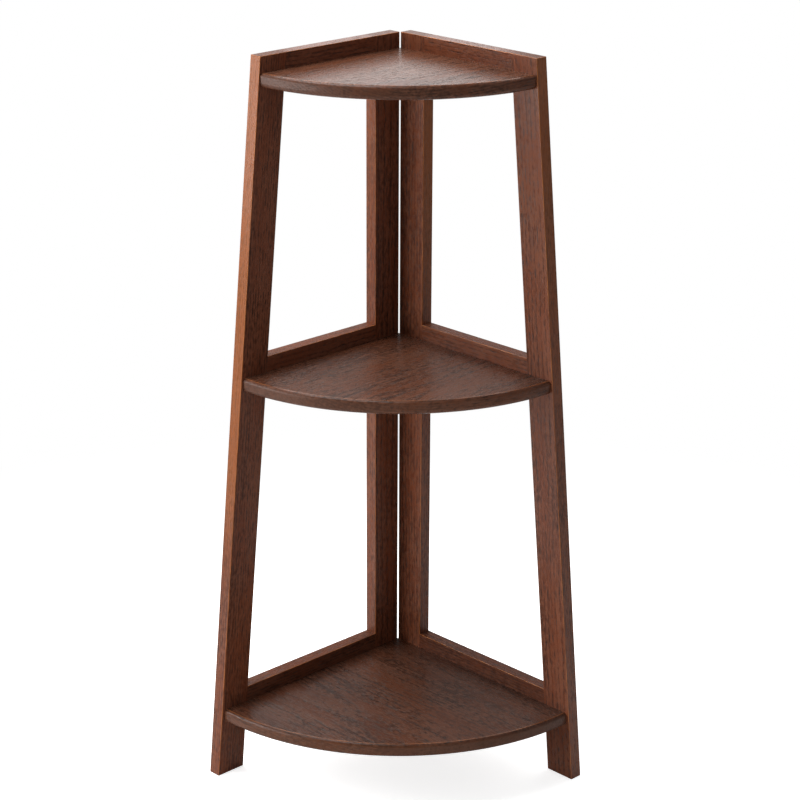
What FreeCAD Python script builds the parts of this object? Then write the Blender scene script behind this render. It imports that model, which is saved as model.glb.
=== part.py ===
"""Three-tier corner shelf: two leaning ladder frames at right angles and three quarter-round shelves.

The model's own frame has its origin on the floor under the middle of the overall box, +Z up.
The walls' corner is at (-foot_reach / 2, +foot_reach / 2). The right frame runs from it along +X with
its wall side facing +Y, and the left frame, its mirror image, runs along -Y with its wall side facing -X.
While it is built, a piece of the right frame lies with the walls' corner at zero: X runs along the wall,
-Y into the room. Each frame is glued up and its edges are eased as one, so its five members are cut
from one eased blank and stay flush at every joint.
"""
import FreeCAD, Part
import Sketcher
import os

# Driving dimensions in millimetres: alias, value, what it is
SIZES = [
    ("overall_height", 800, "floor to the top of posts, legs and top rails"),
    ("foot_reach", 293.5, "walls' corner to the front of a leg at the floor"),
    ("head_reach", 215, "walls' corner to the front of a leg at the top"),
    ("board_thickness", 15, "thickness of every frame member"),
    ("corner_gap", 0.7, "each post stands this far clear of the other frame's inner face"),
    ("post_width", 36, "back post, along the wall"),
    ("leg_width", 36, "front leg, measured level along the wall"),
    ("rail_height", 36, "each rail, top to bottom"),
    ("rail_lip", 17.5, "each rail stands this far above its shelf"),
    ("middle_level", 458, "floor to the middle shelf's upper face"),
    ("bottom_level", 78.5, "floor to the bottom shelf's upper face"),
    ("shelf_thickness", 15, "every shelf"),
    ("top_radius", 200.5, "top shelf, inner corner to front edge"),
    ("middle_radius", 231.5, "middle shelf, inner corner to front edge"),
    ("bottom_radius", 268, "bottom shelf, inner corner to front edge"),
    ("shelf_upper_round", 4, "rounding of a shelf's upper front edge"),
    ("shelf_lower_round", 5, "rounding of a shelf's lower front edge"),
    ("edge_ease", 0.6, "rounding of the frame's edges"),
    ("tenon_length", 30, "loose tenon, half in each member"),
    ("tenon_height", 22, "loose tenon, upright in the joint"),
    ("tenon_thickness", 5, "loose tenon"),
    ("tenon_chamfer", 1, "round both ends of a tenon"),
    ("tenon_slack", 0.1, "glue room of a tenon on each side of it"),
    ("tenon_end_room", 0.8, "glue room at each end of a tenon"),
    ("bolt_diameter", 6, "shank of the connecting bolt"),
    ("bolt_head_diameter", 12, "countersunk head, ninety degrees"),
    ("bolt_head_sink", 0.3, "head below the frame's wall side"),
    ("bolt_run_out", 1.8, "bolt's tip past its insert nut"),
    ("bolt_slack", 0.2, "radial room of a bolt in its hole"),
    ("bolt_end_room", 1.5, "hole deeper than the bolt's tip"),
    ("bolt_margin", 28, "bolt axis to the rail's end"),
    ("hex_key", 4, "socket in the bolt's head, across its flats"),
    ("hex_depth", 2.4, "depth of that socket"),
    ("nut_diameter", 9, "insert nut, outside"),
    ("nut_length", 13, "insert nut"),
    ("nut_sink", 0.5, "insert nut below the shelf's straight edge"),
    ("nut_slack", 0.1, "radial room of an insert nut in its hole"),
    ("nut_thread_room", 0.1, "radial room between a bolt and its insert nut"),
    ("overrun", 5, "how far stock and cutters reach past what they cut"),
]

# How near an edge lies to a plane to count as on it
NEAR = 1e-6

TIERS = ["top", "middle", "bottom"]
SHELF_LEVEL = {
    "top": "(Sizes.overall_height - Sizes.rail_lip)",
    "middle": "Sizes.middle_level",
    "bottom": "Sizes.bottom_level",
}
SHELF_RADIUS = {tier: "Sizes.%s_radius" % tier for tier in TIERS}
RAIL_TOP = {tier: "(%s + Sizes.rail_lip)" % SHELF_LEVEL[tier] for tier in TIERS}
RAIL_FOOT = {tier: "(%s - Sizes.rail_height)" % RAIL_TOP[tier] for tier in TIERS}

# Places along the wall, counted from the walls' corner
POST_BACK = "(Sizes.board_thickness + Sizes.corner_gap)"
POST_FRONT = "(%s + Sizes.post_width)" % POST_BACK
LEAN = "((Sizes.foot_reach - Sizes.head_reach) / Sizes.overall_height)"


def leg_front(height):
    """Front edge of the leaning leg at a height."""
    return "(Sizes.foot_reach - %s * (%s))" % (LEAN, height)


def leg_back(height):
    """Back edge of the leaning leg at a height, where the rails end."""
    return "(%s - Sizes.leg_width)" % leg_front(height)


document = FreeCAD.newDocument("corner_shelf")
sheet = document.addObject("Spreadsheet::Sheet", "Sizes")
for row, (alias, number, note) in enumerate(SIZES, start=1):
    sheet.set("A%d" % row, alias)
    sheet.set("B%d" % row, str(number))
    sheet.setAlias("B%d" % row, alias)
    sheet.set("C%d" % row, note)
document.recompute()


# Helpers for sketches and features

def value(expression):
    """The number that an expression in the sheet's sizes has now."""
    return float(sheet.evalExpression(expression))


def origin_plane(body, role):
    """One of a body's own origin planes."""
    return next(item for item in body.Origin.OriginFeatures if item.Role == role)


def pin(sketch, line, axis, expression):
    """Hold the start point of a line at a distance from the sketch's origin along one axis."""
    kind, index = {"x": ("DistanceX", -2), "y": ("DistanceY", -1)}[axis]
    if expression == "0":
        sketch.addConstraint(Sketcher.Constraint("PointOnObject", line, 1, index))
        return
    number = sketch.addConstraint(Sketcher.Constraint(kind, -1, 1, line, 1, value(expression)))
    sketch.setExpression("Constraints[%d]" % number, expression)


def polygon(body, name, role, corners):
    """A closed outline on one of the body's planes, each corner held by two expressions."""
    sketch = body.newObject("Sketcher::SketchObject", name)
    sketch.AttachmentSupport = [(origin_plane(body, role), "")]
    sketch.MapMode = "FlatFace"
    points = [FreeCAD.Vector(value(x), value(y), 0) for x, y in corners]
    for start, end in zip(points, points[1:] + points[:1]):
        sketch.addGeometry(Part.LineSegment(start, end), False)
    for line in range(len(points)):
        sketch.addConstraint(Sketcher.Constraint("Coincident", line, 2, (line + 1) % len(points), 1))
    for line, (x, y) in enumerate(corners):
        pin(sketch, line, "x", x)
        pin(sketch, line, "y", y)
    return sketch


def new_body(name):
    return document.addObject("PartDesign::Body", name)


def edge_names(feature, wanted):
    """Names of the feature's edges that the test accepts."""
    return ["Edge%d" % number for number, edge in enumerate(feature.Shape.Edges, start=1) if wanted(edge)]


def dressed(kind, body, name, base, wanted, size):
    """Round or chamfer the edges of the base feature that the test accepts."""
    document.recompute()
    feature = body.newObject("PartDesign::" + kind, name)
    feature.Base = (base, edge_names(base, wanted))
    feature.setExpression({"Fillet": "Radius", "Chamfer": "Size"}[kind], size)
    return feature


def turned(name, profile):
    """A piece turned about its own Z axis from a half profile of (radius, height) corners."""
    body = new_body(name)
    half = polygon(body, name + "_profile", "XZ_Plane", profile)
    turn = body.newObject("PartDesign::Revolution", name + "_turned")
    turn.Profile = half
    turn.ReferenceAxis = (half, ["V_Axis"])
    turn.Angle = 360
    return body


def cut(name, base, tool):
    feature = document.addObject("Part::Cut", name)
    feature.Base = base
    feature.Tool = tool
    return feature


def place(item, x="0", y="0", z="0"):
    """Bind an object's place to three expressions."""
    for axis, expression in (("x", x), ("y", y), ("z", z)):
        item.setExpression("Placement.Base.%s" % axis, expression)
    return item


def compound(name, members):
    group = document.addObject("Part::Compound", name)
    group.Links = members
    return group


def copies(name, master, turn, places):
    """Copies of one master, each with the same turn, gathered in one compound."""
    links = []
    for number, (x, y, z) in enumerate(places, start=1):
        link = document.addObject("App::Link", "%s_%d" % (name, number))
        link.LinkedObject = master
        link.Placement = FreeCAD.Placement(FreeCAD.Vector(), turn)
        links.append(place(link, x, y, z))
    return compound(name, links)


def mirrored(name, source, corner_x="0", corner_y="0"):
    """The left-hand twin of a right-hand object, across the upright plane that halves the walls' corner."""
    twin = document.addObject("Part::Mirroring", name)
    twin.Source = source
    twin.Normal = FreeCAD.Vector(1, 1, 0)
    twin.setExpression("Base.x", corner_x)
    twin.setExpression("Base.y", corner_y)
    return twin


# The right frame as one glued blank with eased edges

def frame_blank():
    """Outline with the gap between the feet, two windows between the rails, then the eased edges."""
    body = new_body("frame_blank")
    gap_top = RAIL_FOOT["bottom"]
    outline = polygon(body, "frame_outline", "XZ_Plane", [
        (POST_BACK, "0"),
        (POST_FRONT, "0"),
        (POST_FRONT, gap_top),
        (leg_back(gap_top), gap_top),
        (leg_back("0"), "0"),
        ("Sizes.foot_reach", "0"),
        ("Sizes.head_reach", "Sizes.overall_height"),
        (POST_BACK, "Sizes.overall_height"),
    ])
    pad = body.newObject("PartDesign::Pad", "frame_pad")
    pad.Profile = outline
    pad.setExpression("Length", "Sizes.board_thickness")
    last = pad
    for upper, lower in (("top", "middle"), ("middle", "bottom")):
        sill, head = RAIL_TOP[lower], RAIL_FOOT[upper]
        window = polygon(body, "%s_window_outline" % lower, "XZ_Plane", [
            (POST_FRONT, sill),
            (leg_back(sill), sill),
            (leg_back(head), head),
            (POST_FRONT, head),
        ])
        last = body.newObject("PartDesign::Pocket", "%s_window" % lower)
        last.Profile = window
        last.Type = "ThroughAll"
        last.Midplane = True
    document.recompute()
    if not last.Shape.Volume < pad.Shape.Volume:
        raise RuntimeError("the windows cut nothing")

    def is_eased(edge):
        """Every edge along the two wide faces, and the outer corners at the top and round the feet."""
        on_top = edge.BoundBox.ZMin > value("Sizes.overall_height") - NEAR
        at_foot = edge.BoundBox.ZMax < NEAR
        return edge.BoundBox.YLength < NEAR or on_top or at_foot

    dressed("Fillet", body, "frame_eased", last, is_eased, "Sizes.edge_ease")
    return body


def stock(name, corners):
    """A prism that reaches past both faces of the frame, to take one member out of the blank."""
    body = new_body(name)
    outline = polygon(body, name + "_outline", "XZ_Plane", corners)
    pad = body.newObject("PartDesign::Pad", name + "_pad")
    pad.Profile = outline
    pad.Midplane = True
    pad.setExpression("Length", "2 * (Sizes.board_thickness + Sizes.overrun)")
    return body


def member_outlines():
    """Each member's share of the blank: exact at the joints, past the blank everywhere else."""
    below = "(-Sizes.overrun)"
    above = "(Sizes.overall_height + Sizes.overrun)"
    behind = "(%s - Sizes.overrun)" % POST_BACK
    ahead = "(Sizes.foot_reach + Sizes.overrun)"
    outlines = {
        "back_post": [(behind, below), (POST_FRONT, below), (POST_FRONT, above), (behind, above)],
        "front_leg": [(leg_back(below), below), (ahead, below), (ahead, above), (leg_back(above), above)],
    }
    for tier in TIERS:
        low = "(%s - Sizes.overrun)" % RAIL_FOOT[tier]
        high = "(%s + Sizes.overrun)" % RAIL_TOP[tier]
        outlines["%s_rail" % tier] = [
            (POST_FRONT, low), (leg_back(low), low), (leg_back(high), high), (POST_FRONT, high)]
    return outlines


# Loose tenons and the mortises that they need

def block(name, length, thickness, height):
    """A block about its own zero: length along X, thickness along Y, height along Z."""
    body = new_body(name)
    x = "((%s) / 2)" % length
    z = "((%s) / 2)" % height
    outline = polygon(body, name + "_outline", "XZ_Plane", [
        ("-" + x, "-" + z), (x, "-" + z), (x, z), ("-" + x, z)])
    pad = body.newObject("PartDesign::Pad", name + "_pad")
    pad.Profile = outline
    pad.Midplane = True
    pad.setExpression("Length", thickness)
    return body


def tenon():
    """A flat loose tenon with chamfered ends."""
    body = block("tenon_master", "Sizes.tenon_length", "Sizes.tenon_thickness", "Sizes.tenon_height")

    def is_end(edge):
        return edge.BoundBox.XLength < NEAR

    dressed("Chamfer", body, "tenon_ends", body.Tip, is_end, "Sizes.tenon_chamfer")
    return body


def mortises():
    """The two facing mortises of one tenon, as one block."""
    return block(
        "mortise_master",
        "Sizes.tenon_length + 2 * Sizes.tenon_end_room",
        "Sizes.tenon_thickness + 2 * Sizes.tenon_slack",
        "Sizes.tenon_height + 2 * Sizes.tenon_slack")


def tenon_places(tier):
    """Middles of a rail's two tenons, each on its joint at the rail's half height."""
    height = "(%s - Sizes.rail_height / 2)" % RAIL_TOP[tier]
    return [(joint, "-Sizes.board_thickness / 2", height) for joint in (POST_FRONT, leg_back(height))]


# Bolts, insert nuts and their holes, each turned about its own Z axis with its mouth at zero

BOLT_RADIUS = "(Sizes.bolt_diameter / 2)"
HEAD_RADIUS = "(Sizes.bolt_head_diameter / 2)"
NUT_REACH = "(Sizes.nut_sink + Sizes.nut_length + Sizes.bolt_run_out)"
BOLT_LENGTH = "(Sizes.board_thickness - Sizes.bolt_head_sink + %s)" % NUT_REACH


def bolt():
    """Countersunk bolt, ninety degrees, with a hexagon socket in its head."""
    shank = turned("bolt_shank", [
        ("0", "0"),
        (HEAD_RADIUS, "0"),
        (BOLT_RADIUS, "%s - %s" % (HEAD_RADIUS, BOLT_RADIUS)),
        (BOLT_RADIUS, BOLT_LENGTH),
        ("0", BOLT_LENGTH),
    ])
    socket = document.addObject("Part::Prism", "hex_socket")
    socket.Polygon = 6
    socket.setExpression("Circumradius", "Sizes.hex_key / sqrt(3)")
    socket.setExpression("Height", "Sizes.overrun + Sizes.hex_depth")
    place(socket, z="-Sizes.overrun")
    return cut("bolt_master", shank, socket)


def bolt_hole():
    """Countersunk clearance hole through a rail, past it on both sides by the overrun."""
    bore = "(%s + Sizes.bolt_slack)" % BOLT_RADIUS
    mouth = "(%s + Sizes.bolt_slack + Sizes.bolt_head_sink)" % HEAD_RADIUS
    end = "Sizes.board_thickness + Sizes.overrun"
    return turned("bolt_hole_master", [
        ("0", "-Sizes.overrun"),
        ("%s + Sizes.overrun" % mouth, "-Sizes.overrun"),
        (bore, "%s - %s" % (mouth, bore)),
        (bore, end),
        ("0", end),
    ])


def insert_nut():
    """A plain sleeve, which stands for a threaded one."""
    inner = "%s + Sizes.nut_thread_room" % BOLT_RADIUS
    outer = "Sizes.nut_diameter / 2"
    return turned("insert_nut_master", [
        (inner, "0"), (outer, "0"), (outer, "Sizes.nut_length"), (inner, "Sizes.nut_length")])


def nut_hole():
    """Blind hole in a shelf's straight edge, deep enough for the bolt's tip."""
    radius = "Sizes.nut_diameter / 2 + Sizes.nut_slack"
    end = "%s + Sizes.bolt_end_room" % NUT_REACH
    return turned("nut_hole_master", [
        ("0", "-Sizes.overrun"), (radius, "-Sizes.overrun"), (radius, end), ("0", end)])


def bolt_places(tier, depth):
    """Two places along a shelf's straight edge, at half the shelf's thickness."""
    height = "(%s - Sizes.shelf_thickness / 2)" % SHELF_LEVEL[tier]
    return [
        ("%s + Sizes.bolt_margin" % POST_FRONT, depth, height),
        ("%s - Sizes.bolt_margin" % leg_back(height), depth, height),
    ]


# Shelves

def shelf_blank(tier):
    """A quarter disc about the shelf's inner corner, upper face at zero, with a rounded front edge."""
    body = new_body("%s_shelf_blank" % tier)
    radius = SHELF_RADIUS[tier]
    sketch = body.newObject("Sketcher::SketchObject", "%s_shelf_outline" % tier)
    sketch.AttachmentSupport = [(origin_plane(body, "XY_Plane"), "")]
    sketch.MapMode = "FlatFace"
    reach = value(radius)
    corner = FreeCAD.Vector(0, 0, 0)
    right = FreeCAD.Vector(reach, 0, 0)
    left = FreeCAD.Vector(0, -reach, 0)
    front = Part.Arc(left, FreeCAD.Vector(reach, -reach, 0).normalize() * reach, right)
    right_edge, arc, left_edge = [
        sketch.addGeometry(shape, False)
        for shape in (Part.LineSegment(corner, right), front, Part.LineSegment(left, corner))]
    for constraint in (
            ("Coincident", right_edge, 1, -1, 1),
            ("Coincident", left_edge, 2, -1, 1),
            ("Coincident", arc, 3, -1, 1),
            ("Coincident", arc, 2, right_edge, 2),
            ("Coincident", arc, 1, left_edge, 1),
            ("Horizontal", right_edge),
            ("Vertical", left_edge)):
        sketch.addConstraint(Sketcher.Constraint(*constraint))
    number = sketch.addConstraint(Sketcher.Constraint("Radius", arc, reach))
    sketch.setExpression("Constraints[%d]" % number, radius)
    pad = body.newObject("PartDesign::Pad", "%s_shelf_pad" % tier)
    pad.Profile = sketch
    pad.Reversed = True
    pad.setExpression("Length", "Sizes.shelf_thickness")

    def is_upper_arc(edge):
        return isinstance(edge.Curve, Part.Circle) and edge.BoundBox.ZMin > -NEAR

    def is_lower_arc(edge):
        sole = -value("Sizes.shelf_thickness") + NEAR
        return isinstance(edge.Curve, Part.Circle) and edge.BoundBox.ZMax < sole

    upper = dressed(
        "Fillet", body, "%s_shelf_upper_round" % tier, pad, is_upper_arc, "Sizes.shelf_upper_round")
    dressed("Fillet", body, "%s_shelf_lower_round" % tier, upper, is_lower_arc, "Sizes.shelf_lower_round")
    return place(body, "Sizes.board_thickness", "-Sizes.board_thickness", SHELF_LEVEL[tier])


# Everything of the right-hand side, with the walls' corner at zero

UPRIGHT = FreeCAD.Rotation()
INTO_ROOM = FreeCAD.Rotation(FreeCAD.Vector(1, 0, 0), 90)

tenon_master = tenon()
mortise_master = mortises()
bolt_master = bolt()
bolt_hole_master = bolt_hole()
nut_master = insert_nut()
nut_hole_master = nut_hole()

right_side = {}
frame_cuts = []
shelf_cuts = []
for tier in TIERS:
    head = bolt_places(tier, "-Sizes.bolt_head_sink")
    wall_side = bolt_places(tier, "0")
    shelf_edge = bolt_places(tier, "-Sizes.board_thickness")
    nut = bolt_places(tier, "-Sizes.board_thickness - Sizes.nut_sink")
    for name, master, turn, places in (
            ("loose_tenons", tenon_master, UPRIGHT, tenon_places(tier)),
            ("bolts", bolt_master, INTO_ROOM, head),
            ("insert_nuts", nut_master, INTO_ROOM, nut)):
        label = "%s_%s" % (tier, name)
        right_side[label] = copies(label, master, turn, places)
    frame_cuts += [
        copies("%s_mortises" % tier, mortise_master, UPRIGHT, tenon_places(tier)),
        copies("%s_bolt_holes" % tier, bolt_hole_master, INTO_ROOM, wall_side),
    ]
    shelf_cuts.append(copies("%s_nut_holes" % tier, nut_hole_master, INTO_ROOM, shelf_edge))
frame_drilling = compound("frame_drilling", frame_cuts)
right_shelf_drilling = compound("right_shelf_drilling", shelf_cuts)
left_shelf_drilling = mirrored("left_shelf_drilling", right_shelf_drilling)
shelf_drilling = compound("shelf_drilling", [right_shelf_drilling, left_shelf_drilling])

blank = frame_blank()
for name, corners in member_outlines().items():
    share = document.addObject("Part::Common", name + "_share")
    share.Base = blank
    share.Tool = stock(name + "_stock", corners)
    right_side[name] = cut(name, share, frame_drilling)

# Every sub-part at its place about the origin: the right side, its left-hand twins and the shelves

CORNER_X = "-Sizes.foot_reach / 2"
CORNER_Y = "Sizes.foot_reach / 2"

sub_parts = []
for name, piece in right_side.items():
    place(piece, CORNER_X, CORNER_Y)
    piece.Label = "right_" + name
    twin = mirrored("left_" + name, piece, CORNER_X, CORNER_Y)
    twin.Label = "left_" + name
    sub_parts += [piece, twin]
for tier in TIERS:
    shelf = cut("%s_shelf" % tier, shelf_blank(tier), shelf_drilling)
    place(shelf, CORNER_X, CORNER_Y)
    shelf.Label = "%s_shelf" % tier
    sub_parts.append(shelf)

document.recompute()

# Nothing is written unless every object and every sub-part is sound

for item in document.Objects:
    if "Invalid" in item.State or "Error" in item.State:
        raise RuntimeError("%s failed: %s" % (item.Label, item.State))
for piece in sub_parts:
    if piece.Shape.isNull() or not piece.Shape.isValid() or not piece.Shape.Solids:
        raise RuntimeError("%s has no sound solid" % piece.Label)

os.makedirs("parts", exist_ok=True)
for piece in sub_parts:
    piece.Shape.exportStep("parts/%s.step" % piece.Label)
    box = piece.Shape.BoundBox
    print("%-26s %d solid(s) %10.0f mm3  x %.1f..%.1f  y %.1f..%.1f  z %.1f..%.1f" % (
        piece.Label, len(piece.Shape.Solids), piece.Shape.Volume,
        box.XMin, box.XMax, box.YMin, box.YMax, box.ZMin, box.ZMax))
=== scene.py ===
"""The corner shelf as it stands in the studio: dark stained wood, steel fixings, floor, light and camera.

Lengths are metres in the model's own frame: X runs along the right wall, Y towards it, Z upwards.
"""

import math

import bpy
import numpy as np
from mathutils import Matrix, Vector


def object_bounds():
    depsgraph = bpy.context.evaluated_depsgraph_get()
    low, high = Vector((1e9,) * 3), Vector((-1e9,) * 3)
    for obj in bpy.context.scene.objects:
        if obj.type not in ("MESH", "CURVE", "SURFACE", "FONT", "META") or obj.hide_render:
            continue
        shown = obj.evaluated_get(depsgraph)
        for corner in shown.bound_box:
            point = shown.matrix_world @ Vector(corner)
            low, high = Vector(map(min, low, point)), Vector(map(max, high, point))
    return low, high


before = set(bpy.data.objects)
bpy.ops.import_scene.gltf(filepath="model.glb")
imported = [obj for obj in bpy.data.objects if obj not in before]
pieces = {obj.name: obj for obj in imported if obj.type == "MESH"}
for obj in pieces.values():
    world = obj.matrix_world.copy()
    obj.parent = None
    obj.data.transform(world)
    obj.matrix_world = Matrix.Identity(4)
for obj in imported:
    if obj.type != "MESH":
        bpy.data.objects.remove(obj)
built_low, built_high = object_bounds()

# Stains of the frames and of the shelves, and the bare beech of the tenons, as linear red, green and blue:
# on summer wood, on spring wood, in the pores and in the warm patches
STAIN = {
    "summer": (0.212, 0.074, 0.039),
    "spring": (0.094, 0.030, 0.0155),
    "pores": (0.020, 0.009, 0.006),
    "warm": (0.190, 0.050, 0.020),
}
SHELF_STAIN = {
    "summer": (0.130, 0.053, 0.031),
    "spring": (0.052, 0.020, 0.0115),
    "pores": (0.015, 0.008, 0.005),
    "warm": (0.120, 0.036, 0.015),
}
BEECH = {
    "summer": (0.62, 0.45, 0.29),
    "spring": (0.54, 0.37, 0.22),
    "pores": (0.36, 0.22, 0.12),
    "warm": (0.60, 0.40, 0.24),
}

# The stain where it has been rubbed paler, which also paints light on lit sides and shelf rims, and on end
# grain, with how far it covers the figure there and how much rougher end grain is
WORN_AND_LIT_STAIN = (0.485, 0.163, 0.046)
END_STAIN = (0.055, 0.024, 0.015)
END_SHARE = 0.45
END_ROUGHNESS = 0.1

# Shine of the varnish, as the shader's specular level: in general, on the back posts, and on the left leg
SATIN = 0.25
DULLED_SATIN = 0.19
DULLEST_SATIN = 0.15

# Bright and dull spots of plated steel
BOLT_STEEL = ((0.42, 0.40, 0.37), (0.26, 0.25, 0.24))
NUT_STEEL = ((0.56, 0.54, 0.50), (0.38, 0.37, 0.35))


# Wiring of a finish

def feed(tree, socket, value):
    """Sets a socket, or links an output to it."""
    if isinstance(value, bpy.types.NodeSocket):
        tree.links.new(value, socket)
    else:
        socket.default_value = value


def part(tree, kind, settings=None, **sockets):
    """A node with its settings, and its sockets by name: each a value to set or an output to link."""
    made = tree.nodes.new(kind)
    for name, value in (settings or {}).items():
        setattr(made, name, value)
    for name, value in sockets.items():
        feed(tree, made.inputs[name.replace("_", " ")], value)
    return made


def worked(tree, kind, terms, settings=None):
    """The outputs of a node that takes the terms in order."""
    made = part(tree, kind, settings)
    for socket, term in zip(made.inputs, terms):
        feed(tree, socket, term)
    return made.outputs


def sums(tree, operation, *terms):
    """One sum on numbers."""
    return worked(tree, "ShaderNodeMath", terms, {"operation": operation})[0]


def vectors(tree, operation, *terms):
    """One sum on vectors. A length and a dot product come out as numbers."""
    outputs = worked(tree, "ShaderNodeVectorMath", terms, {"operation": operation})
    return outputs["Value"] if operation in ("LENGTH", "DOT_PRODUCT") else outputs["Vector"]


def weighted(tree, start, *pairs):
    """The start plus each value times its weight."""
    total = start
    for value, weight in pairs:
        total = sums(tree, "MULTIPLY_ADD", value, weight, total)
    return total


def ramp(tree, value, low, high, start=0.0, end=1.0):
    """A smooth step of the value: start below low, end above high."""
    made = part(tree, "ShaderNodeMapRange", {"interpolation_type": "SMOOTHSTEP"}, Value=value)
    for name, number in zip(("From Min", "From Max", "To Min", "To Max"), (low, high, start, end)):
        made.inputs[name].default_value = number
    return made.outputs["Result"]


def blend(tree, share, first, second):
    """The first colour where the share is 0 and the second where it is 1."""
    made = part(tree, "ShaderNodeMix", {"data_type": "RGBA"})
    sockets = {socket.identifier: socket for socket in made.inputs}
    for name, value in (("Factor_Float", share), ("A_Color", first), ("B_Color", second)):
        feed(tree, sockets[name], value)
    return next(socket for socket in made.outputs if socket.identifier == "Result_Color")


def colour(rgb, tone_and_shade=1.0):
    """Red, green and blue times the tone, with nothing let through."""
    return (*(tone_and_shade * level for level in rgb), 1.0)


def new_group(name, inputs, outputs):
    """An empty group with its named sockets, and its two ends."""
    tree = bpy.data.node_groups.new(name, "ShaderNodeTree")
    for direction, sockets in (("INPUT", inputs), ("OUTPUT", outputs)):
        for label, kind in sockets.items():
            tree.interface.new_socket(label, in_out=direction, socket_type="NodeSocket" + kind)
    return tree, tree.nodes.new("NodeGroupInput").outputs, tree.nodes.new("NodeGroupOutput").inputs


# Kinds of streak and patch: cycles a metre along the grain and across it, and levels of detail
LOG_WANDER = (1.7, 9.0, 2.0)
RING_WAVER = (12.0, 60.0, 2.0)
BROAD_STREAKS = (8.0, 250.0, 3.0)
FINE_STREAKS = (28.0, 560.0, 3.0)
FLECKS = (150.0, 430.0, 2.0)
CLOUDS = (5.0, 16.0, 2.0)
WARM_PATCHES = (13.0, 55.0, 3.0)
LONG_PORES = (100.0, 600.0, 1.0)
HAIR_PORES = (180.0, 1700.0, 1.0)
RUBBED_PATCHES = (45.0, 70.0, 3.0)

# Levels of the noise between which the long pores, the fine pores, the warm patches and the rubbed patches
# set in, and the least rubbing between these patches
LONG_PORE_LEVELS = (0.55, 0.66)
HAIR_PORE_LEVELS = (0.56, 0.68)
WARM_LEVELS = (0.42, 0.66)
RUBBED_LEVELS = (0.38, 0.62)
LEAST_RUBBED = 0.4

# Shares of the pores that summer wood and spring wood have
PORES_LEFT_SHARES = (0.4, 0.9)

# Shares of a growth ring: where its spring wood is gone, and where that of the next ring begins to show
SPRING_GONE_SHARE = 0.42
SPRING_BACK_SHARE = 0.9

# Weights of the broad streaks, the fine streaks, the flecks and the clouds in the mottle, and of the spring
# wood beside it, and the sums at which the colour is all summer wood and all spring wood
MOTTLE_WEIGHTS = (0.9, 1.5, 2.4, 1.3)
SPRING_WEIGHT = 0.75
ALL_SUMMER = -0.4
ALL_SPRING = 1.1

# How far the warm patches cover the wood under them, how strong the fine pores are beside the long ones, and
# how far all pores cover the wood
WARM_SHARE = 0.55
HAIR_SHARE = 0.7
PORE_SHARE = 0.8

# Roughness of the smoothest wood, and what the clouds, the fine streaks and the pores add to it
SMOOTH_WOOD = 0.14
ROUGHENING = (0.14, 0.08, 0.2)

# How much lower than the summer wood the pores and the spring wood lie, as shares of the grain's depth
PORE_DROP_SHARE = 0.75
SPRING_DROP_SHARE = 0.25
GRAIN_DEPTH = 0.0003
GRAIN_STRENGTH = 0.5


# Shared effects

def streaks(tree, place, kind):
    """Noise between 0 and 1, drawn out along the grain: it is read at the place times the cycles."""
    along, across, detail = kind
    drawn = vectors(tree, "MULTIPLY", place, (along, across, across))
    return part(tree, "ShaderNodeTexNoise", None, Vector=drawn, Scale=1.0, Detail=detail).outputs["Fac"]


def swing(tree, noise, width):
    """The noise less a half, times the width."""
    return sums(tree, "MULTIPLY", sums(tree, "SUBTRACT", noise, 0.5), width)


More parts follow.
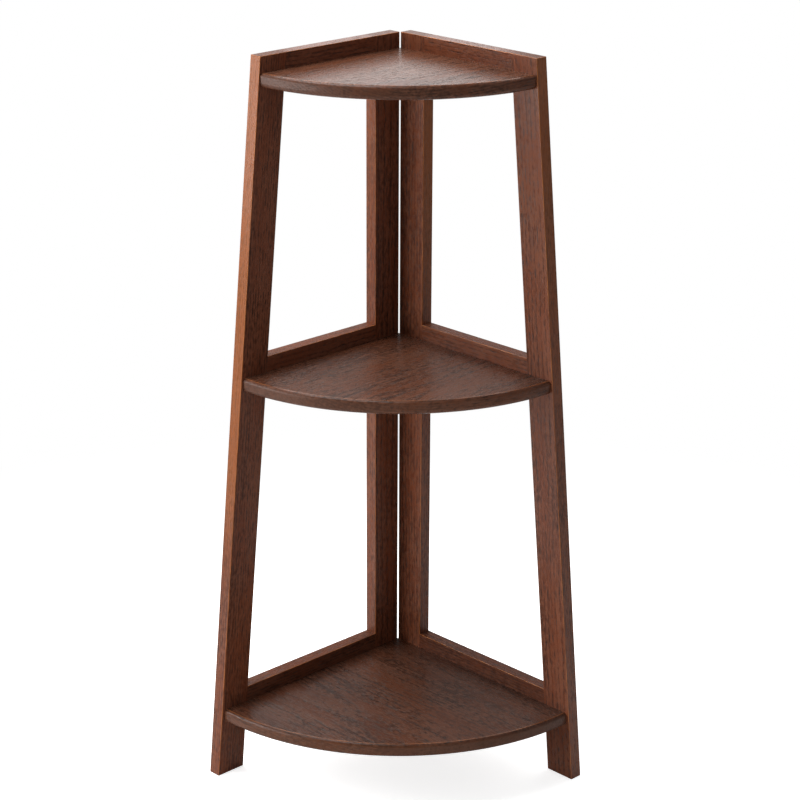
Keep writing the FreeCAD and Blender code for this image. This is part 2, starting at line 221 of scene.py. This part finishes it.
def open_grain():
    """Growth rings round the heart of the log, with pores in the spring wood and streaks along the grain.

    The ring number is the distance from the heart, wandering with slow noise, over the width of a ring. The
    colour goes from summer wood to spring wood by the spring wood in the ring plus the mottle, which is the
    weighted sum of the streaks, centred on 0.
    """
    tree, given, made = new_group(
        "open grain",
        {"Place": "Vector", "Ring Width": "Float", "Wander": "Float", "Waver": "Float", "Fineness": "Float",
         "Contrast": "Float", "Summer Wood": "Color", "Spring Wood": "Color", "Pores": "Color",
         "Warm Patches": "Color"},
        {"Colour": "Color", "Roughness": "Float", "Relief": "Float"})
    place = given["Place"]
    heart = vectors(tree, "LENGTH", vectors(tree, "MULTIPLY", place, (0.0, 1.0, 1.0)))
    wander = swing(tree, streaks(tree, place, LOG_WANDER), given["Wander"])
    waver = swing(tree, streaks(tree, place, RING_WAVER), given["Waver"])
    distance = sums(tree, "ADD", sums(tree, "ADD", heart, wander), waver)
    ring = sums(tree, "FRACT", sums(tree, "DIVIDE", distance, given["Ring Width"]))
    fading = ramp(tree, ring, 0.0, SPRING_GONE_SHARE, 1.0, 0.0)
    spring = sums(tree, "MAXIMUM", fading, ramp(tree, ring, SPRING_BACK_SHARE, 1.0))

    finer = part(tree, "ShaderNodeCombineXYZ", None, X=1.0, Y=given["Fineness"], Z=given["Fineness"])
    fibres = vectors(tree, "MULTIPLY", place, finer.outputs["Vector"])
    fine = streaks(tree, fibres, FINE_STREAKS)
    cloud = streaks(tree, place, CLOUDS)
    layers = (streaks(tree, fibres, BROAD_STREAKS), fine, streaks(tree, fibres, FLECKS), cloud)
    mottle = weighted(tree, -0.5 * sum(MOTTLE_WEIGHTS), *zip(layers, MOTTLE_WEIGHTS))

    vessel = ramp(tree, streaks(tree, fibres, LONG_PORES), *LONG_PORE_LEVELS)
    hair = ramp(tree, streaks(tree, place, HAIR_PORES), *HAIR_PORE_LEVELS, 0.0, HAIR_SHARE)
    crowded = ramp(tree, spring, 0.0, 1.0, *PORES_LEFT_SHARES)
    pore = sums(tree, "MULTIPLY", sums(tree, "MAXIMUM", vessel, hair), crowded)

    share = weighted(tree, 0.0, (mottle, given["Contrast"]), (spring, SPRING_WEIGHT))
    share = ramp(tree, share, ALL_SUMMER, ALL_SPRING)
    wood = blend(tree, share, given["Summer Wood"], given["Spring Wood"])
    warmth = ramp(tree, streaks(tree, place, WARM_PATCHES), *WARM_LEVELS, 0.0, WARM_SHARE)
    wood = blend(tree, warmth, wood, given["Warm Patches"])
    wood = blend(tree, sums(tree, "MULTIPLY", pore, PORE_SHARE), wood, given["Pores"])
    feed(tree, made["Colour"], wood)
    feed(tree, made["Roughness"], weighted(tree, SMOOTH_WOOD, *zip((cloud, fine, pore), ROUGHENING)))
    drops = (pore, -PORE_DROP_SHARE), (spring, -SPRING_DROP_SHARE)
    feed(tree, made["Relief"], weighted(tree, 1.0, *drops))
    return tree


# How fast the rubbing sets in past the least turn of an arris, and dies away before the greatest
RUBBING_BEGINS = 60.0
RUBBING_ENDS = 30.0


def rubbed_arris():
    """Where an arris has been rubbed paler, as the surface turns from one flat face to the next.

    The turn is 1 less the largest part of the facing. Top Only takes just its upright part, for a shelf's
    rim. The band is the lesser of (turn - start) and (end - turn), each times its speed, between 0 and 1.
    """
    tree, given, made = new_group(
        "rubbed arris",
        {"Facing": "Vector", "Place": "Vector", "Top Only": "Float", "Start": "Float", "End": "Float"},
        {"Rubbed": "Float"})
    either_way = vectors(tree, "ABSOLUTE", given["Facing"])
    level = part(tree, "ShaderNodeSeparateXYZ", None, Vector=either_way).outputs
    sides_count = sums(tree, "SUBTRACT", 1.0, given["Top Only"])
    sideways = sums(tree, "MULTIPLY", sums(tree, "MAXIMUM", level["X"], level["Y"]), sides_count)
    turn = sums(tree, "SUBTRACT", 1.0, sums(tree, "MAXIMUM", sideways, level["Z"]))
    begins = sums(tree, "MULTIPLY", sums(tree, "SUBTRACT", turn, given["Start"]), RUBBING_BEGINS)
    ends = sums(tree, "MULTIPLY", sums(tree, "SUBTRACT", given["End"], turn), RUBBING_ENDS)
    band = sums(tree, "MINIMUM", sums(tree, "MINIMUM", begins, ends), 1.0)
    band = sums(tree, "MAXIMUM", band, 0.0)
    patches = streaks(tree, given["Place"], RUBBED_PATCHES)
    broken = ramp(tree, patches, *RUBBED_LEVELS, LEAST_RUBBED, 1.0)
    feed(tree, made["Rubbed"], sums(tree, "MULTIPLY", band, broken))
    return tree


# Dot products of facing and direction between which a face comes to look along the direction
ALONG_LEVELS = (0.55, 0.95)


def facing_along():
    """Which faces look along a direction, forwards or backwards: a ramp on the size of the dot product."""
    tree, given, made = new_group(
        "facing along", {"Facing": "Vector", "Direction": "Vector"}, {"Share": "Float"})
    turned = sums(tree, "ABSOLUTE", vectors(tree, "DOT_PRODUCT", given["Facing"], given["Direction"]))
    feed(tree, made["Share"], ramp(tree, turned, *ALONG_LEVELS))
    return tree


# Cycles a metre and levels of detail of the steel's turning marks and dull spots, the levels between which a
# spot sets in, the roughness of bright steel, what a spot adds, and how deep and how strong the marks are
TURNING_MARKS = (900.0, 3.0)
DULL_SPOTS = (260.0, 4.0)
DULL_LEVELS = (0.35, 0.7)
BRIGHT_ROUGHNESS = 0.18
DULL_ROUGHNESS = 0.3
MARK_DEPTH = 0.00005
MARK_STRENGTH = 0.4


def speckle(tree, place, kind):
    """Noise between 0 and 1, the same in all directions."""
    cycles, detail = kind
    return part(tree, "ShaderNodeTexNoise", None, Vector=place, Scale=cycles, Detail=detail).outputs["Fac"]


def tool_marks():
    """Fine turning marks and dull spots on plated steel."""
    tree, given, made = new_group(
        "tool marks",
        {"Place": "Vector", "Bright": "Color", "Dull": "Color"},
        {"Colour": "Color", "Roughness": "Float", "Relief": "Float"})
    spots = speckle(tree, given["Place"], DULL_SPOTS)
    dulled = ramp(tree, spots, *DULL_LEVELS)
    feed(tree, made["Colour"], blend(tree, dulled, given["Bright"], given["Dull"]))
    feed(tree, made["Roughness"], weighted(tree, BRIGHT_ROUGHNESS, (spots, DULL_ROUGHNESS)))
    feed(tree, made["Relief"], speckle(tree, given["Place"], TURNING_MARKS))
    return tree


OPEN_GRAIN = open_grain()
RUBBED_ARRIS = rubbed_arris()
FACING_ALONG = facing_along()
TOOL_MARKS = tool_marks()


# Finishes

def blank_finish(name):
    """An empty material, its shader, and its texture coordinates."""
    finish = bpy.data.materials.new(name)
    finish.use_nodes = True
    tree = finish.node_tree
    tree.nodes.clear()
    shader = tree.nodes.new("ShaderNodeBsdfPrincipled")
    tree.links.new(shader.outputs["BSDF"], tree.nodes.new("ShaderNodeOutputMaterial").inputs["Surface"])
    return finish, tree, shader.inputs, tree.nodes.new("ShaderNodeTexCoord").outputs


def group(tree, shared, **sockets):
    """A shared effect, placed with its own values."""
    return part(tree, "ShaderNodeGroup", {"node_tree": shared}, **sockets).outputs


def relief(tree, height, depth, strength):
    """The normal of a surface with that height, its hollows as deep as given."""
    bumps = part(tree, "ShaderNodeBump", None, Height=height, Distance=depth, Strength=strength)
    return bumps.outputs["Normal"]


# Sideways directions: along the right frame, along the left one, and out of the middle of a shelf's rim
RIGHT_END = (1.0, 0.0, 0.0)
LEFT_END = (0.0, 1.0, 0.0)
RIM_FRONT = (math.sqrt(0.5), -math.sqrt(0.5), 0.0)

# Painted light on the faces that look sideways, paler upwards where the lamps light them more: its full
# share, and the heights where it begins and is full. With both heights below the floor the whole face is
# painted paler alike
NO_PAINTED_SIDE_LIGHT = (0.0, 0.0, 1.0)
BELOW_THE_FLOOR = (-1.0, -0.5)

# Least and greatest turn of an arris that is rubbed: on the frames, on a shelf's rim, and on a hidden tenon
FRAME_ARRIS = (0.02, 1.0)
RIM_ARRIS = (0.004, 0.045)
NO_ARRIS = (1.0, 1.0)

# The figure of a board: width of a growth ring, how far the rings wander and waver, what the cycles of its
# streaks are multiplied by, and how boldly they show
FRAME_FIGURE = {"Ring_Width": 0.0026, "Wander": 0.012, "Waver": 0.002, "Fineness": 0.85, "Contrast": 1.5}
SHELF_FIGURE = {"Ring_Width": 0.0028, "Wander": 0.02, "Waver": 0.002, "Fineness": 0.8}


def wood_finish(name, run, heart, stain, figure, tone_and_shade=1.0, arris=FRAME_ARRIS, top_only=0.0,
                painted_side_light=NO_PAINTED_SIDE_LIGHT, sideways=RIGHT_END, shine=SATIN):
    """Stained wood with its grain along one direction.

    The run is that direction and the turn that lays it on the pattern's X. The heart shifts the pattern,
    whose X is the log's centre line, and the tone multiplies the stain, also painting shade or light on the
    whole piece. The side light paints the faces that look sideways paler, as painted light.
    """
    finish, tree, shader, texture = blank_finish(name)
    along, turn = run
    place = part(tree, "ShaderNodeMapping", None, Vector=texture["Object"], Location=heart, Rotation=turn)
    place = place.outputs["Vector"]
    grain = group(tree, OPEN_GRAIN, Place=place, **figure,
                  Summer_Wood=colour(stain["summer"], tone_and_shade), Spring_Wood=colour(stain["spring"], tone_and_shade),
                  Pores=colour(stain["pores"], tone_and_shade), Warm_Patches=colour(stain["warm"], tone_and_shade))
    across = group(tree, FACING_ALONG, Facing=texture["Normal"], Direction=along)["Share"]
    wood = blend(tree, sums(tree, "MULTIPLY", across, END_SHARE), grain["Colour"], colour(END_STAIN))
    full_share, begins, full = painted_side_light
    # Painted light: faces that look sideways are made paler, more so upwards, for the lamps' light on them
    if full_share:
        narrow = group(tree, FACING_ALONG, Facing=texture["Normal"], Direction=sideways)["Share"]
        height = part(tree, "ShaderNodeSeparateXYZ", None, Vector=texture["Object"]).outputs["Z"]
        side_light = sums(tree, "MULTIPLY", narrow, ramp(tree, height, begins, full, 0.0, full_share))
        wood = blend(tree, side_light, wood, colour(WORN_AND_LIT_STAIN))
    least, greatest = arris
    rubbed = group(tree, RUBBED_ARRIS, Facing=texture["Normal"], Place=place, Top_Only=top_only,
                   Start=least, End=greatest)["Rubbed"]
    feed(tree, shader["Base Color"], blend(tree, rubbed, wood, colour(WORN_AND_LIT_STAIN)))
    feed(tree, shader["Roughness"], weighted(tree, grain["Roughness"], (across, END_ROUGHNESS)))
    feed(tree, shader["Normal"], relief(tree, grain["Relief"], GRAIN_DEPTH, GRAIN_STRENGTH))
    shader["Specular IOR Level"].default_value = shine
    return finish


def steel_finish(name, bright, dull):
    """Plated steel: brushed, a little uneven."""
    finish, tree, shader, texture = blank_finish(name)
    place = part(tree, "ShaderNodeMapping", None, Vector=texture["Object"]).outputs["Vector"]
    marks = group(tree, TOOL_MARKS, Place=place, Bright=colour(bright), Dull=colour(dull))
    feed(tree, shader["Base Color"], marks["Colour"])
    feed(tree, shader["Roughness"], marks["Roughness"])
    feed(tree, shader["Normal"], relief(tree, marks["Relief"], MARK_DEPTH, MARK_STRENGTH))
    shader["Metallic"].default_value = 1.0
    return finish


def dress(piece, finish):
    """Puts one finish on every slot of a piece."""
    for slot in pieces[piece].material_slots:
        slot.material = finish


# How far the front legs stand out from the wall's corner at the foot and at the head, and their height, which
# give their lean
FOOT_REACH = 0.2935
HEAD_REACH = 0.215
HEIGHT = built_high[2] - built_low[2]
LEAN = math.atan((FOOT_REACH - HEAD_REACH) / HEIGHT)

# Runs of the grain: its direction, and the turn that lays it on X
QUARTER = math.pi / 2
UPRIGHT = ((0.0, 0.0, 1.0), (0.0, QUARTER, 0.0))
ALONG_X = ((1.0, 0.0, 0.0), (0.0, 0.0, 0.0))
ALONG_Y = ((0.0, 1.0, 0.0), (0.0, 0.0, -QUARTER))
LEANING_RIGHT = ((-math.sin(LEAN), 0.0, math.cos(LEAN)), (0.0, QUARTER + LEAN, 0.0))
LEANING_LEFT = ((0.0, math.sin(LEAN), math.cos(LEAN)), (LEAN, QUARTER, 0.0))

# Every member of the frames: the run of its grain, the shift of its log's heart, the tone of its stain, which
# darkens the top rails and the right back post and paints shade on the bottom rails' low corners, the painted
# light on its narrow faces, paler upwards where the lamps light them, and its shine
FRAME_MEMBERS = {
    "right_back_post": (UPRIGHT, (0.31, 0.05, -0.24), 0.95, (0.3, 0.35, 0.7), DULLED_SATIN),
    "left_back_post": (UPRIGHT, (1.94, -0.19, 0.12), 1.0, (0.05, 0.55, 0.65), DULLED_SATIN),
    "right_front_leg": (LEANING_RIGHT, (3.12, 0.03, 0.21), 1.0, (0.3, 0.3, 0.85), SATIN),
    "left_front_leg": (LEANING_LEFT, (4.57, 0.22, -0.05), 1.0, (0.29, 0.2, 0.36), DULLEST_SATIN),
    "right_top_rail": (ALONG_X, (5.2, -0.21, -0.73), 0.9, NO_PAINTED_SIDE_LIGHT, SATIN),
    "right_middle_rail": (ALONG_X, (6.4, -0.24, -0.39), 1.0, NO_PAINTED_SIDE_LIGHT, SATIN),
    "right_bottom_rail": (ALONG_X, (7.1, -0.23, 0.05), 0.72, NO_PAINTED_SIDE_LIGHT, SATIN),
    "left_top_rail": (ALONG_Y, (8.3, 0.06, -0.68), 0.9, NO_PAINTED_SIDE_LIGHT, SATIN),
    "left_middle_rail": (ALONG_Y, (9.6, 0.09, -0.35), 1.0, NO_PAINTED_SIDE_LIGHT, SATIN),
    "left_bottom_rail": (ALONG_Y, (10.2, 0.05, 0.08), 0.72, NO_PAINTED_SIDE_LIGHT, SATIN),
}
# A tone below 1 darkens a member, on the bottom rails as painted shade
for member, (run, heart, tone_and_shade, painted_side_light, shine) in FRAME_MEMBERS.items():
    name = member.replace("_", " ") + " stained wood"
    sideways = RIGHT_END if member.startswith("right") else LEFT_END
    dress(member, wood_finish(name, run, heart, STAIN, FRAME_FIGURE, tone_and_shade,
                              painted_side_light=painted_side_light, sideways=sideways, shine=shine))

# The shelves, each from a wide board with its heart well below it: the run of its grain, the shift of its
# log's heart, the tone of its stain, which paints light on the upper shelves and shade on the bottom one, how
# far its rim is painted paler as a painted sheen, and how boldly its streaks show
SHELVES = {
    "top_shelf": (ALONG_Y, (0.7, 0.02, -0.90), 1.17, 0.02, 1.4),
    "middle_shelf": (ALONG_Y, (2.6, 0.05, -0.61), 1.12, 0.05, 1.9),
    "bottom_shelf": (ALONG_X, (3.9, 0.04, -0.20), 0.85, 0.09, 2.2),
}
for shelf, (run, heart, tone_and_shade, rim_sheen_share, contrast) in SHELVES.items():
    name = shelf.replace("_", " ") + " stained wood"
    figure = dict(SHELF_FIGURE, Contrast=contrast)
    dress(shelf, wood_finish(name, run, heart, SHELF_STAIN, figure, tone_and_shade, RIM_ARRIS, top_only=1.0,
                             painted_side_light=(rim_sheen_share, *BELOW_THE_FLOOR), sideways=RIM_FRONT))

# The fixings of each rail, with one heart for all the tenons
TENON_HEART = (0.4, 0.08, -0.09)
bolt_steel = steel_finish("blackened bolt steel", *BOLT_STEEL)
nut_steel = steel_finish("zinc plated nut steel", *NUT_STEEL)
for side, run in (("right", ALONG_X), ("left", ALONG_Y)):
    for tier in ("top", "middle", "bottom"):
        name = f"{side} {tier} beech tenons"
        tenon = wood_finish(name, run, TENON_HEART, BEECH, FRAME_FIGURE, arris=NO_ARRIS)
        dress(f"{side}_{tier}_loose_tenons", tenon)
        dress(f"{side}_{tier}_bolts", bolt_steel)
        dress(f"{side}_{tier}_insert_nuts", nut_steel)


# Studio

# Half the floor's side, how pale it is, what it adds to the eye to come near white, and the distances from
# the origin at which it begins to go over to plain white and has done so
FLOOR_REACH = 9.0
FLOOR_PALE = 0.8
FLOOR_LIFT = 0.75
SHADED_REACH = 0.35
WHITE_FROM = 1.1


def studio_floor():
    """A flat pale floor that shows the shelf's shadow near it and goes over to plain white further off."""
    square = np.array([(-1.0, -1.0, 0.0), (1.0, -1.0, 0.0), (1.0, 1.0, 0.0), (-1.0, 1.0, 0.0)])
    corners = FLOOR_REACH * square
    mesh = bpy.data.meshes.new("studio floor")
    mesh.from_pydata(corners.tolist(), [], [(0, 1, 2, 3)])
    floor = bpy.data.objects.new("studio_floor", mesh)
    bpy.context.scene.collection.objects.link(floor)
    finish = bpy.data.materials.new("pale studio floor")
    finish.use_nodes = True
    tree = finish.node_tree
    tree.nodes.clear()
    paint = part(tree, "ShaderNodeBsdfDiffuse", None, Color=colour((FLOOR_PALE,) * 3)).outputs[0]
    lift = part(tree, "ShaderNodeEmission", None, Strength=FLOOR_LIFT).outputs[0]
    white = part(tree, "ShaderNodeEmission", None, Strength=1.0).outputs[0]
    near = worked(tree, "ShaderNodeAddShader", (paint, lift))[0]
    place = part(tree, "ShaderNodeTexCoord").outputs["Object"]
    away = ramp(tree, vectors(tree, "LENGTH", place), SHADED_REACH, WHITE_FROM)
    seen = worked(tree, "ShaderNodeMixShader", (away, near, white))[0]
    to_the_eye = part(tree, "ShaderNodeLightPath").outputs["Is Camera Ray"]
    whole = worked(tree, "ShaderNodeMixShader", (to_the_eye, paint, seen))[0]
    part(tree, "ShaderNodeOutputMaterial", None, Surface=whole)
    mesh.materials.append(finish)


def studio_air(strength):
    """White all round to the eye, and a plain level of light on everything else."""
    world = bpy.data.worlds.new("studio air")
    bpy.context.scene.world = world
    world.use_nodes = True
    tree = world.node_tree
    tree.nodes.clear()
    to_the_eye = part(tree, "ShaderNodeLightPath").outputs["Is Camera Ray"]
    level = weighted(tree, strength, (to_the_eye, 1.0 - strength))
    air = part(tree, "ShaderNodeBackground", None, Color=(1.0, 1.0, 1.0, 1.0), Strength=level).outputs[0]
    part(tree, "ShaderNodeOutputWorld", None, Surface=air)


def soft_lamp(name, place, aim, size, power):
    """A square soft box at a place, turned to its aim, that the camera doesn't see."""
    lamp = bpy.data.lights.new(name, "AREA")
    lamp.shape = "SQUARE"
    lamp.size = size
    lamp.energy = power
    box = bpy.data.objects.new(name, lamp)
    box.location = place
    box.rotation_euler = (Vector(aim) - Vector(place)).to_track_quat("-Z", "Y").to_euler()
    box.visible_camera = False
    bpy.context.scene.collection.objects.link(box)


# The eye of the photograph: place, heading from +Y towards +X, pitch, roll, lens and sensor in millimetres,
# and the distances between which it sees
EYE = Vector((1.6639, -1.6170, 1.2716))
HEADING = math.radians(-45.7253)
PITCH = math.radians(-19.6331)
ROLL = math.radians(0.2372)
LENS = 104.96
SENSOR = 36.0
NEAREST_SEEN = 0.05
FARTHEST_SEEN = 60.0


def photograph_camera():
    """The camera where the photograph was taken from.

    It looks ahead along the heading and the pitch. Its own right and up are the level and the upward
    direction, turned by the roll.
    """
    flat = Vector((math.sin(HEADING), math.cos(HEADING), 0.0))
    ahead = flat * math.cos(PITCH) + Vector((0.0, 0.0, math.sin(PITCH)))
    level = Vector((math.cos(HEADING), -math.sin(HEADING), 0.0))
    upward = level.cross(ahead)
    across = level * math.cos(ROLL) + upward * math.sin(ROLL)
    upright = upward * math.cos(ROLL) - level * math.sin(ROLL)
    lens = bpy.data.cameras.new("photograph camera")
    lens.sensor_width = SENSOR
    lens.lens = LENS
    lens.clip_start = NEAREST_SEEN
    lens.clip_end = FARTHEST_SEEN
    camera = bpy.data.objects.new("photograph_camera", lens)
    camera.matrix_world = Matrix.Translation(EYE) @ Matrix((across, upright, -ahead)).transposed().to_4x4()
    bpy.context.scene.collection.objects.link(camera)
    bpy.context.scene.camera = camera


# Level of the light from all round, and the soft boxes, all turned to the middle of the shelf: name, place,
# side and power in watts
AIR_LEVEL = 0.26
SHELF_MIDDLE = (0.0, 0.0, 0.42)
SOFT_BOXES = (
    ("overhead softbox", (-0.244, -0.251, 1.5), 0.6, 8.5),
    ("high back left softbox", (-1.588, 0.404, 1.567), 1.2, 18.5),
    ("high back right softbox", (-0.305, 1.61, 1.567), 1.2, 12.8),
    ("back left softbox", (-1.947, -0.195, 0.836), 1.2, 14.0),
    ("small back softbox", (-0.501, 0.489, 1.0), 0.3, 0.4),
    ("front left softbox", (-0.476, -1.631, 0.479), 0.55, 7.1),
    ("left softbox", (-0.712, -0.903, 0.75), 0.5, 6.7),
)

studio_floor()
studio_air(AIR_LEVEL)
for name, place, size, power in SOFT_BOXES:
    soft_lamp(name, place, SHELF_MIDDLE, size, power)
photograph_camera()
bpy.context.scene.view_settings.view_transform = "Standard"
